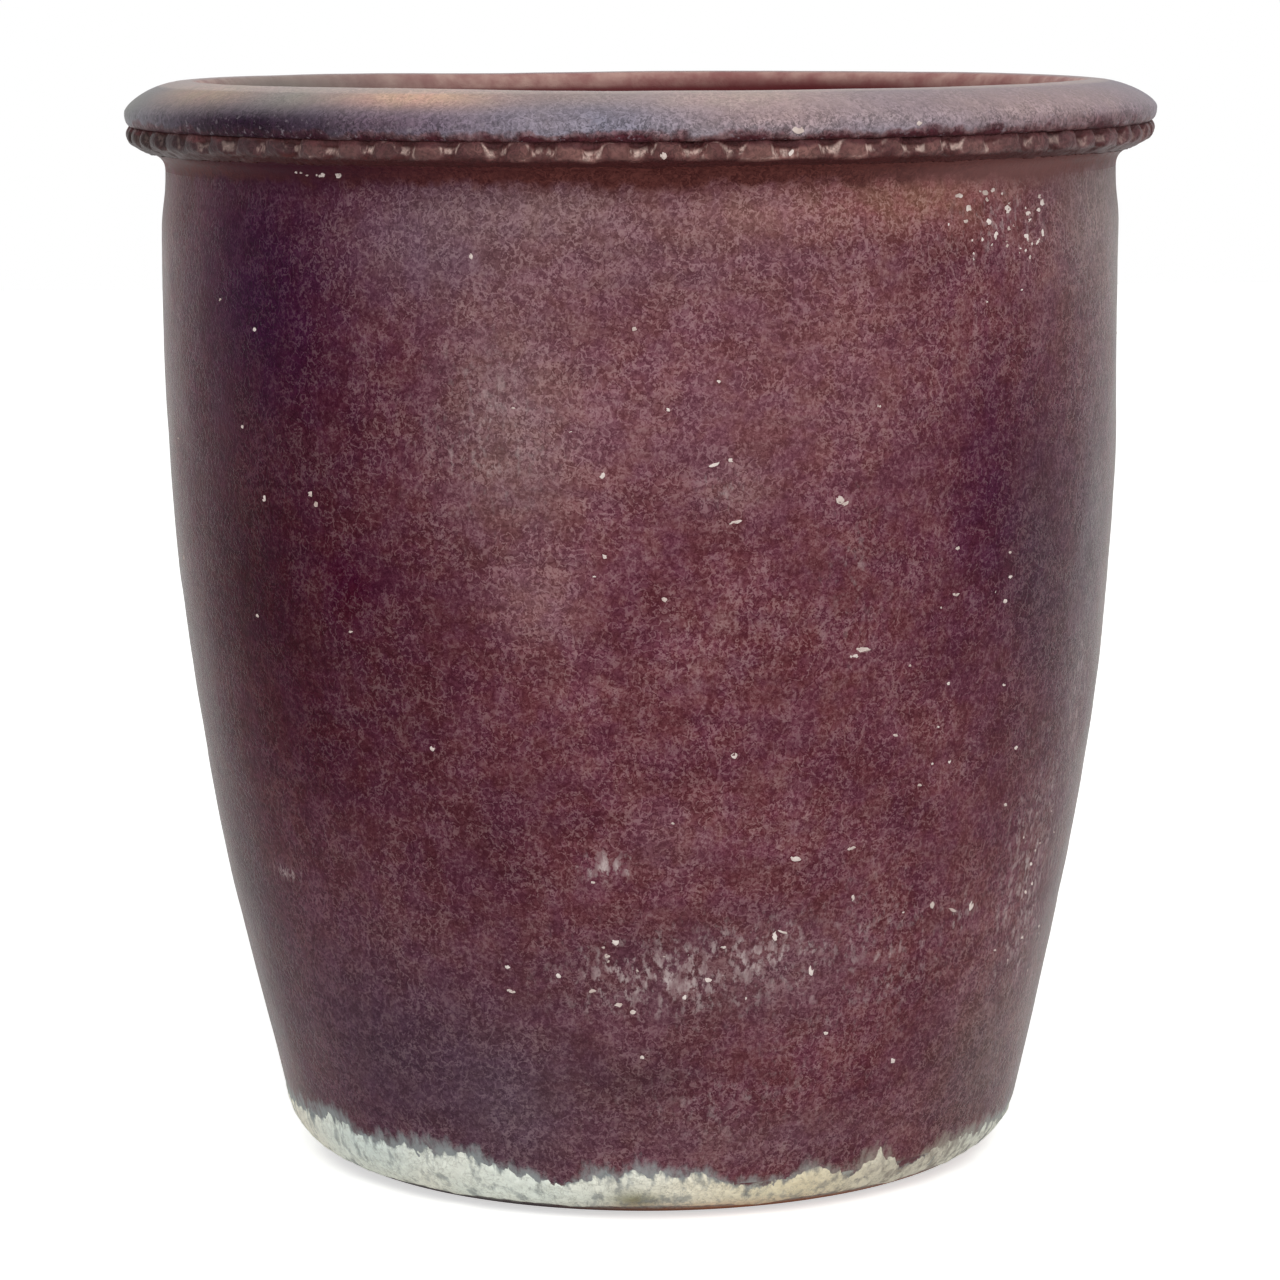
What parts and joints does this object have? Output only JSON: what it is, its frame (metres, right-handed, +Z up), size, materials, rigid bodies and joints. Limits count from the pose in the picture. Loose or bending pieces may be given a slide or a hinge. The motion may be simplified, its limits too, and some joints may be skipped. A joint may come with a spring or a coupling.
{
  "type": "planter",
  "caption": "Large round stoneware planter with tapered sides, a rolled rim over a thumb-notched strip, a rounded heel and a central drain hole.",
  "frame": {"origin": "on the ground under the middle of the foot", "axes": "+Z up along the pot's axis, -Y towards the side seen in the picture, +X to the right of it"},
  "size_m": [0.56, 0.56, 0.5862],
  "materials": {
    "foot_clay": "matte",
    "wall_glaze": "satin",
    "rim_glaze": "satin"
  },
  "bodies": {
    "root": {"floor_slab": "foot_clay", "lower_wall_course": "wall_glaze", "middle_wall_course": "wall_glaze", "upper_wall_course": "wall_glaze", "rim_roll": "rim_glaze", "notched_band": "rim_glaze"}
  },
  "joints": []
}
